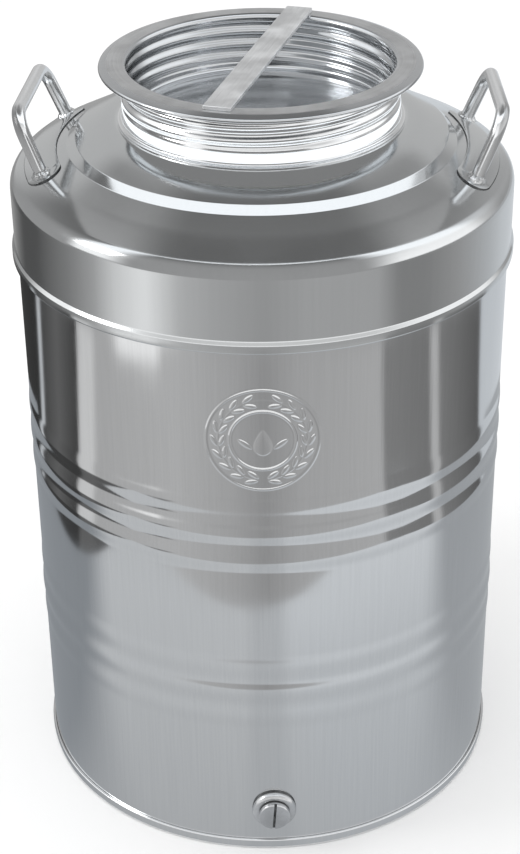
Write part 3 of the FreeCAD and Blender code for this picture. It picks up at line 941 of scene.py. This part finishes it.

# %% [markdown]
# ## Boss, washer and plug
# The plug's shank shows its G 1/2 thread when it is screwed out, so it gets a zigzag of
# that pitch. Painted shade in the slot and round the boss's root is what makes such small parts read.

# %% Boss, washer and plug
BORE_R, SHANK_R, HALF_PITCH = 10.35, 10.3, 0.907
boss_foot = [(BORE_R, 180.5), (15.0, 180.5), (17.2, 183.5), (17.25, 186.2)]
boss_dome = round_corners([
    (17.25, 186.4, 0), (17.25, 190.9, 4.2), (13.0, 190.9, 0.6), (BORE_R, 190.9, 0)
])
boss = lay_on_drain(turned("drain_boss_turned", boss_foot + boss_dome, plug_steel, segments=96))
seat(boss, "drum", "drain_boss", slot="machined_steel")
# painted shade round the boss's root
paint_shade_on_faces(boss, lambda p, n: p.y > -186.55 and math.hypot(p.x, p.z - DRAIN_Z) > 16.5)

washer_path = [(10.6, 190.95), (12.0, 190.95), (12.0, 192.05), (10.6, 192.05)]
washer = lay_on_drain(turned("drain_washer_ring", washer_path, washer_rubber, segments=96))
seat(washer, "washer", "plug_washer", slot="gasket_rubber")

head = round_corners([(SHANK_R, 192.2, 0), (12.2, 192.2, 0.3), (12.2, 196.2, 1.1), (0.5, 196.2, 0)])
threads = [(SHANK_R - 0.55 * (k % 2), 180.6 + HALF_PITCH * k) for k in range(1, 13)]
plug_outline = [(0.5, 179.4), (9.1, 179.4), (9.7, 180.6)] + threads + head
plug = turned("drain_plug_turned", plug_outline, plug_steel, segments=96)
cut_slot(plug, 2.0, 2.2, 196.2, -4.0)
lay_on_drain(plug)
# painted shade in the plug's slot
paint_shade_on_faces(plug, lambda p, n: (
    -196.0 < p.y < -193.5 and abs(p.x) < 1.4 and math.hypot(p.x, p.z - DRAIN_Z) < 11.5
))
seat(plug, "plug", "drain_plug", slot="machined_steel")

# %% [markdown]
# ## Camera
# The camera stands where the photograph was taken from: 1.4 m in front of the drum and
# 1.1 m above the ground, looking down 31.5 degrees through a longish lens. The small roll
# and shift frame the drum as in the photograph.

# %% Camera
FRAME_WIDTH, FRAME_HEIGHT = 520, 854
FOCAL_PIXELS = 1969.3
OPTICAL_X, OPTICAL_Y = 265.5, 472.3
SENSOR = 36.0
YAW, PITCH_DOWN, ROLL = (math.radians(a) for a in (-1.2, 31.53, -0.66))
camera_data = bpy.data.cameras.new("camera")
camera_data.sensor_fit = "HORIZONTAL"
camera_data.sensor_width = SENSOR
camera_data.lens = FOCAL_PIXELS / FRAME_WIDTH * SENSOR
camera_data.shift_x = (FRAME_WIDTH / 2 - OPTICAL_X) / FRAME_WIDTH
camera_data.shift_y = (OPTICAL_Y - FRAME_HEIGHT / 2) / FRAME_WIDTH
camera = bpy.data.objects.new("camera", camera_data)
bpy.context.scene.collection.objects.link(camera)
bpy.context.scene.camera = camera
toward_camera = Matrix.Rotation(YAW, 4, "Z")
camera.matrix_world = (
    toward_camera
    @ Matrix.Translation(Vector((0, -1.368, 1.076)))
    @ Matrix.Rotation(math.radians(90) - PITCH_DOWN, 4, "X")
    @ Matrix.Rotation(ROLL, 4, "Z")
)
print("camera stands at", [round(v, 3) for v in camera.matrix_world.translation])

# %% [markdown]
# ## Floor, light and what the steel reflects
# A mirror shows its surroundings, so most of this look is made outside the drum. The floor
# is pale and plain, and catches the drum's shadow. What the steel sees is a second, flat
# disc just above it, which only reflections show: a pale board near the drum, and beyond
# its edges the grey ground and the dark and light things that stand in a yard. Its colours
# are the tones that the steel shows, so a strength of 1 / 0.70 makes up for what polished
# steel swallows. Each soft border is a Map Range node with a smooth step between two
# values, and two borders multiplied make a patch. A Mix node for colours keeps its two
# colours at its inputs 6 and 7.

# %% Surroundings helpers
scene = bpy.context.scene
scene.view_settings.view_transform = "Standard"
MIRROR_GAIN = 1 / 0.70
SMOOTH = {"interpolation_type": "SMOOTHSTEP"}


def grey(tone, cool=0):
    """A grey of this sRGB tone, a little cooler where asked, as a hex colour."""
    return "#%02x%02x%02x" % (tone - cool, tone, tone + cool)


def between(tree, value, rise, fall):
    """1 from the end of the rise to the start of the fall, and soft on both sides."""
    up = add_node(tree, "MapRange", [value, rise[0], rise[1]], **SMOOTH)
    down = add_node(tree, "MapRange", [value, fall[1], fall[0]], **SMOOTH)
    return add_node(tree, "Math", [up, down], operation="MULTIPLY")


def compass_tones(tree, direction, stops):
    """Tones round the drum, as (degrees from the camera's side, tone, coolness)."""
    share = add_node(tree, "Math", [direction, 0.5 / math.pi, 0.5], operation="MULTIPLY_ADD")
    return add_node(tree, "ValToRGB", [share], stops=[
        ((degrees + 180) / 360, grey(tone, cool)) for degrees, tone, cool in stops
    ])


def flat_disc(name, inner, outer, height, material, segments=180):
    """A flat ring round the drum's axis, in millimetres."""
    angles = 360 * np.arange(segments) / segments
    rings = [ring(angles, r, height) for r in (inner, outer)]
    return skinned(name, rings, material, closed=False)


def round_card(name, radius, low, high, material):
    """A card bent into a cylinder round the drum's axis, in millimetres."""
    rings = [ring(np.arange(-180, 180, 2.0), radius, z) for z in (low, high)]
    return skinned(name, rings, material, closed=False)


def reflected_only(piece):
    """Keeps a stage piece out of the camera's view, of shadows and of diffuse light."""
    piece.visible_camera = False
    piece.visible_diffuse = False
    piece.visible_shadow = False
    piece.visible_transmission = False
    print(piece.name, "shows in reflections only")


# %% [markdown]
# ## Floor
# A matt pale floor with hardly any gloss, so that it shows the shadow and nothing else.

# %% Floor
FLOOR_R = 9000.0
floor_paint = surfaced(bare_material("pale_studio_floor")[0], {
    "Base Color": "#f6f6f6", "Roughness": 0.95, "Specular IOR Level": 0.1,
})
floor = flat_disc("studio_floor", 1.0, FLOOR_R, 0.0, floor_paint)
print("the floor reaches", FLOOR_R * MM, "m out")

# %% [markdown]
# ## The sky
# The sky has three jobs. What looks straight at it sees plain white. The floor gets an
# even light. And the steel sees a canopy. It is easiest to design it by the steel's own
# slope. One fixed direction is chosen, along the line from which the drum was pictured,
# and it stays put wherever a camera goes. Half-way between it and a ray of the sky is the
# normal of the sheet that would mirror that ray to it. So `tilt` below reads: sheet that
# leans this far from level shows this tone. The shoulder's slope of 25 degrees is dark, its
# step of 43 degrees is the brightest thing in the picture, and the sides are light.

# %% Sky
world = bpy.data.worlds.new("soft_daylight")
scene.world = world
world.use_nodes = True
tree = world.node_tree
tree.nodes.clear()
FIXED_DIRECTION = tuple(toward_camera @ Vector((0, 0.914, -0.407)))
ray = add_node(tree, "TexCoord").outputs["Generated"]
half_way = add_node(tree, "VectorMath", [ray, FIXED_DIRECTION], operation="SUBTRACT")
normal = add_node(tree, "VectorMath", [half_way], operation="NORMALIZE")
lean_x, lean_y, lean_z = add_node(tree, "SeparateXYZ", [normal]).outputs
angle = add_node(tree, "Math", [lean_z], operation="ARCCOSINE")
tilt = add_node(tree, "Math", [angle, 2 / math.pi], operation="MULTIPLY")
forward = add_node(tree, "Math", [lean_y, -1.0], operation="MULTIPLY")
around_axis = add_node(tree, "Math", [lean_x, forward], operation="ARCTAN2")
to_side = add_node(tree, "Math", [around_axis], operation="ABSOLUTE")


def tilt_tones(*stops):
    """Tones by lean, as (degrees from level, tone, coolness)."""
    return add_node(tree, "ValToRGB", [tilt], stops=[
        (degrees / 90, grey(tone, cool)) for degrees, tone, cool in stops
    ])


in_front = tilt_tones(
    (0, 185, 0), (8, 160, 0), (13, 118, 0), (20, 112, 0), (25, 104, 0), (28, 94, 0), (34.5, 94, 0),
    (37, 248, 3), (49, 248, 3), (51, 175, 0), (58, 215, 0), (80, 240, 0), (90, 200, 0),
)
beside = tilt_tones(
    (0, 185, 0), (10, 172, 0), (20, 160, 0), (27, 128, 0), (34, 160, 0), (37, 246, 3), (49, 250, 2),
    (56, 236, 0), (75, 244, 0), (82, 185, 2), (90, 180, 3),
)
behind = tilt_tones(
    (0, 185, 0), (20, 168, 0), (45, 172, 0), (60, 140, 0), (75, 112, 0), (90, 105, 0)
)
sideways = add_node(tree, "MapRange", [to_side, math.radians(22), math.radians(40)], **SMOOTH)
backwards = add_node(tree, "MapRange", [to_side, math.radians(56), math.radians(70)], **SMOOTH)
front_half = add_node(tree, "Mix", {0: sideways, 6: in_front, 7: beside}, data_type="RGBA")
canopy = add_node(tree, "Mix", {0: backwards, 6: front_half, 7: behind}, data_type="RGBA")
light_path = add_node(tree, "LightPath").outputs
for_steel = add_node(tree, "Background", [canopy, MIRROR_GAIN])
for_floor = add_node(tree, "Background", ["#ffffff", 1.12])
plain_white = add_node(tree, "Background", ["#ffffff", 1.0])
lighting = add_node(tree, "MixShader", [light_path["Is Glossy Ray"], for_floor, for_steel])
seen = add_node(tree, "MixShader", [light_path["Is Camera Ray"], lighting, plain_white])
add_node(tree, "OutputWorld", {"Surface": seen})
print("the sky has", len(tree.nodes), "nodes")

# %% [markdown]
# ## The ground in the reflection
# An upright wall shows the ground in front of it: its foot shows what is near, and its top
# shows what is far. So the disc's tones are laid out by distance and direction. What stands
# beyond the board gives the dark and light stripes of the upper wall. Further out, where
# only the shoulder's band and the ribs look, the tones are softer. A pale patch on the
# left gives the upper wall its one glint.


# %% Beyond the board
def things_beyond(tree, direction, distance):
    """The tones past the board, by direction and distance."""
    near = compass_tones(tree, direction, [
        (-180, 60, 0), (-124, 45, 0), (-122, 180, 3), (-120, 180, 3), (-118, 65, 0),
        (-104, 90, 0), (-90, 60, 0), (-88, 190, 0), (-80, 190, 0), (-77, 160, 0),
        (-38, 168, 0), (-14, 155, 0), (0, 138, 0), (14, 155, 0), (50, 163, 0), (52, 120, 0),
        (75, 110, 0), (77, 168, 0), (80, 168, 0), (82, 115, 0), (111, 82, 0), (113, 183, 4),
        (180, 183, 4),
    ])
    far = compass_tones(tree, direction, [
        (-180, 150, 0), (-150, 130, 0), (-130, 75, 0), (-115, 75, 0), (-90, 120, 0),
        (-76, 150, 0), (-64, 195, 0), (-50, 218, 0), (-34, 168, 0), (-20, 155, 0), (0, 143, 0),
        (18, 153, 0), (48, 153, 0), (58, 122, 0), (72, 122, 0), (90, 140, 0), (130, 182, 3),
        (180, 190, 4),
    ])
    far_share = add_node(tree, "MapRange", [distance, 0.985, 1.03], **SMOOTH)
    tones = add_node(tree, "Mix", {0: far_share, 6: near, 7: far}, data_type="RGBA")
    left_front = [math.radians(a) for a in (-70, -62, -48, -42)]
    glint = add_node(tree, "Math", [
        between(tree, direction, left_front[:2], left_front[2:]),
        between(tree, distance, (0.93, 0.99), (1.02, 1.06)),
    ], operation="MULTIPLY")
    return add_node(tree, "Mix", {0: glint, 6: tones, 7: grey(232)}, data_type="RGBA")


# %% [markdown]
# The board is what the lower wall sees. It is lighter towards its edge and on its right.
# Behind the drum it lies in shade, and a darker gap runs along its middle.


# %% The pale board
def board_tones(tree, side, front, distance):
    """The tones of the board, by place."""
    reaches = (0.18, 0.30, 0.40, 0.50, 0.58)
    left = add_node(tree, "ValToRGB", [distance], stops=[
        (reach, grey(tone, 2)) for reach, tone in zip(reaches, (165, 172, 177, 180, 179))
    ])
    right = add_node(tree, "ValToRGB", [distance], stops=[
        (reach, grey(tone, 3)) for reach, tone in zip(reaches, (168, 175, 180, 190, 195))
    ])
    to_right = add_node(tree, "MapRange", [side, -0.04, 0.14], **SMOOTH)
    board = add_node(tree, "Mix", {0: to_right, 6: left, 7: right}, data_type="RGBA")
    across = add_node(tree, "Math", [side, 1.0, 0.5], operation="MULTIPLY_ADD")
    shade = add_node(tree, "ValToRGB", [across], stops=[(0.4, grey(131, 4)), (0.6, grey(150, 3))])
    to_front = add_node(tree, "MapRange", [front, 0.04, 0.18], **SMOOTH)
    board = add_node(tree, "Mix", {0: to_front, 6: shade, 7: board}, data_type="RGBA")
    off_middle = add_node(tree, "Math", [side], operation="ABSOLUTE")
    off_middle = add_node(tree, "Math", [off_middle, distance], operation="DIVIDE")
    off_gap = add_node(tree, "MapRange", [off_middle, 0.06, 0.17], **SMOOTH)
    gap = add_node(tree, "Math", [1.0, off_gap], operation="SUBTRACT")
    gap = add_node(tree, "Math", [gap, 0.32], operation="MULTIPLY")
    return add_node(tree, "Mix", {0: gap, 6: board, 7: grey(150, 3)}, data_type="RGBA")


# %% [markdown]
# A round wall bends straight lines: the board's front edge, seen in the wall, is the half
# disc below the upper ribs. The edge is turned by 7 degrees and bowed, the right edge is
# straight, a far corner is cut off, and a round thing hides the left.


# %% The edges of the board
EDGE_COS, EDGE_SIN, EDGE_BOW = 0.993, 0.122, 0.39
FRONT_EDGE, RIGHT_EDGE, CORNER = 0.510, 0.585, 0.675
ROUND_MIDDLE, ROUND_R = (-2.212, 0.1, 0.0), 1.725


def past_the_board(tree, place, side, front, distance):
    """0 on the board and 1 beyond its edges."""
    front_cos, side_sin, side_cos, front_sin = (
        add_node(tree, "Math", [value, factor], operation="MULTIPLY") for value, factor in
        ((front, EDGE_COS), (side, EDGE_SIN), (side, EDGE_COS), (front, EDGE_SIN))
    )
    edge_front = add_node(tree, "Math", [front_cos, side_sin], operation="SUBTRACT")
    edge_side = add_node(tree, "Math", [side_cos, front_sin], operation="ADD")
    bow = add_node(tree, "Math", [edge_side], operation="ABSOLUTE")
    bow = add_node(tree, "Math", [bow, 2.0], operation="POWER")
    bowed = add_node(tree, "Math", [bow, EDGE_BOW, edge_front], operation="MULTIPLY_ADD")
    offset = add_node(tree, "VectorMath", [place, ROUND_MIDDLE], operation="SUBTRACT")
    reach = add_node(tree, "VectorMath", [offset], operation="LENGTH")
    past = add_node(tree, "MapRange", [reach, ROUND_R + 0.003, ROUND_R - 0.003], **SMOOTH)
    for value, border, soft in (
        (bowed, FRONT_EDGE, 0.003), (side, RIGHT_EDGE, 0.005), (distance, CORNER, 0.003)
    ):
        edge = add_node(tree, "MapRange", [value, border - soft, border + soft], **SMOOTH)
        past = add_node(tree, "Math", [past, edge], operation="MAXIMUM")
    return past


# %% [markdown]
# The three parts come together in one material that glows, so no lamp has to light it. The
# round thing on the left gets its dark rim here.


# %% What the steel reflects from below
def yard_material():
    """The ground as the steel sees it, laid out in metres to the side and to the front."""
    material, tree = bare_material("yard_in_the_reflection")
    place = add_node(tree, "TexCoord").outputs["Object"]
    side, back, _ = add_node(tree, "SeparateXYZ", [place]).outputs
    front = add_node(tree, "Math", [back, -1.0], operation="MULTIPLY")
    distance = add_node(tree, "VectorMath", [place], operation="LENGTH")
    direction = add_node(tree, "Math", [side, front], operation="ARCTAN2")
    near_rim = add_node(tree, "MapRange", [distance, 0.64, 0.60], **SMOOTH)
    left_rim = add_node(tree, "MapRange", [side, -0.36, -0.42], **SMOOTH)
    rim = add_node(tree, "Math", [near_rim, left_rim], operation="MULTIPLY")
    rim = add_node(tree, "Math", [rim, 0.85], operation="MULTIPLY")
    beyond = things_beyond(tree, direction, distance)
    beyond = add_node(tree, "Mix", {0: rim, 6: beyond, 7: grey(50)}, data_type="RGBA")
    past = past_the_board(tree, place, side, front, distance)
    board = board_tones(tree, side, front, distance)
    ground = add_node(tree, "Mix", {0: past, 6: board, 7: beyond}, data_type="RGBA")
    add_node(tree, "OutputMaterial", {"Surface": add_node(tree, "Emission", [ground, MIRROR_GAIN])})
    return material


yard = flat_disc("reflected_yard", 188.0, FLOOR_R, 1.0, yard_material())
yard.rotation_euler.z = YAW
reflected_only(yard)

# %% [markdown]
# ## A flag for the shoulder's edge
# Photographers of polished metal stand grey cards, called flags, close beside it to calm an
# edge. The shoulder's rounded edge would show the whole bright sky as one hard white line.
# A curved flag close in front of it gives the soft run from dark to grey instead. It
# leaves gaps at the left and right, where the edge keeps its white glints.


# %% Flag for the shoulder's edge
FLAG_R, FLAG_LOW, FLAG_HIGH = 200, 498.0, 602.0


def flag_material():
    """A card that is darker towards its top, and clear where the edge should glint."""
    material, tree = bare_material("grey_flag_card")
    place = add_node(tree, "TexCoord").outputs["Object"]
    side, back, up = add_node(tree, "SeparateXYZ", [place]).outputs
    front = add_node(tree, "Math", [back, -1.0], operation="MULTIPLY")
    rise = add_node(tree, "MapRange", [up, 0.500, 0.600])
    tone = add_node(tree, "ValToRGB", [rise], stops=[
        (0.0, grey(142)), (0.25, grey(138)), (0.7, grey(108)), (1.0, grey(95)),
    ])
    angle = add_node(tree, "Math", [side, front], operation="ARCTAN2")
    cover = 0.0
    for strength, *edges in (
        (1.0, -40, -30, 22, 34), (1.0, -100, -80, -52, -46), (0.6, 54, 64, 94, 112)
    ):
        a, b, c, d = (math.radians(edge) for edge in edges)
        patch = between(tree, angle, (a, b), (c, d))
        patch = add_node(tree, "Math", [patch, strength], operation="MULTIPLY")
        cover = add_node(tree, "Math", [cover, patch], operation="MAXIMUM")
    glow = add_node(tree, "Emission", [tone, MIRROR_GAIN])
    clear = add_node(tree, "BsdfTransparent")
    add_node(tree, "OutputMaterial", {"Surface": add_node(tree, "MixShader", [cover, clear, glow])})
    return material


flag = round_card("grey_flag", FLAG_R, FLAG_LOW, FLAG_HIGH, flag_material())
flag.rotation_euler.z = YAW
reflected_only(flag)

# %% [markdown]
# ## Paper round the neck
# A ring of white paper round the neck's foot does the opposite: it lights the plain part
# of the neck, which looks down at it. It only shines upward, so the shoulder under it
# doesn't see it. A grey collar round the neck works the other way about: the platform sees
# its calm grey in place of the busy thread, and the neck looks out through it.


# %% Paper ring and collar for the neck
PAPER_INNER, PAPER_OUTER, PAPER_Z = 106.5, 128.0, 546.2
COLLAR_R, COLLAR_LOW, COLLAR_HIGH = 105.9, 546.6, 581.0


def one_sided(name, colour):
    """A card that glows on its front and is clear from behind."""
    material, tree = bare_material(name)
    backfacing = add_node(tree, "NewGeometry").outputs["Backfacing"]
    glow = add_node(tree, "Emission", [colour, MIRROR_GAIN])
    clear = add_node(tree, "BsdfTransparent")
    card = add_node(tree, "MixShader", [backfacing, glow, clear])
    add_node(tree, "OutputMaterial", {"Surface": card})
    return material


white_paper = one_sided("white_paper_ring", "#f4f8fb")
paper = flat_disc("paper_ring", PAPER_INNER, PAPER_OUTER, PAPER_Z, white_paper)
if paper.data.polygons[0].normal.z < 0:
    paper.data.flip_normals()
reflected_only(paper)
grey_card = one_sided("grey_card_collar", grey(122))
collar = round_card("grey_collar", COLLAR_R, COLLAR_LOW, COLLAR_HIGH, grey_card)
face = collar.data.polygons[0]
if face.normal.x * face.center.x + face.normal.y * face.center.y < 0:
    collar.data.flip_normals()
reflected_only(collar)

# %% [markdown]
# ## Lamp
# One large soft lamp stands to the left. It gives the floor a faint shadow, and the rods,
# beads and edges a soft white glint.


# %% Lamp
LAMP_PLACE, LAMP_TARGET, LAMP_SIZE, LAMP_WATTS = (-1.9, -0.35, 1.5), (0, 0, 0.4), 0.7, 9
lamp = bpy.data.lights.new("key_lamp", "AREA")
lamp.size = LAMP_SIZE
lamp.energy = LAMP_WATTS
holder = bpy.data.objects.new("key_lamp", lamp)
bpy.context.scene.collection.objects.link(holder)
holder.location = LAMP_PLACE
aim = Vector(LAMP_TARGET) - holder.location
holder.rotation_euler = aim.to_track_quat("-Z", "Y").to_euler()
holder.visible_camera = False
print("the lamp gives", LAMP_WATTS, "W from", round(aim.length, 2), "m away")
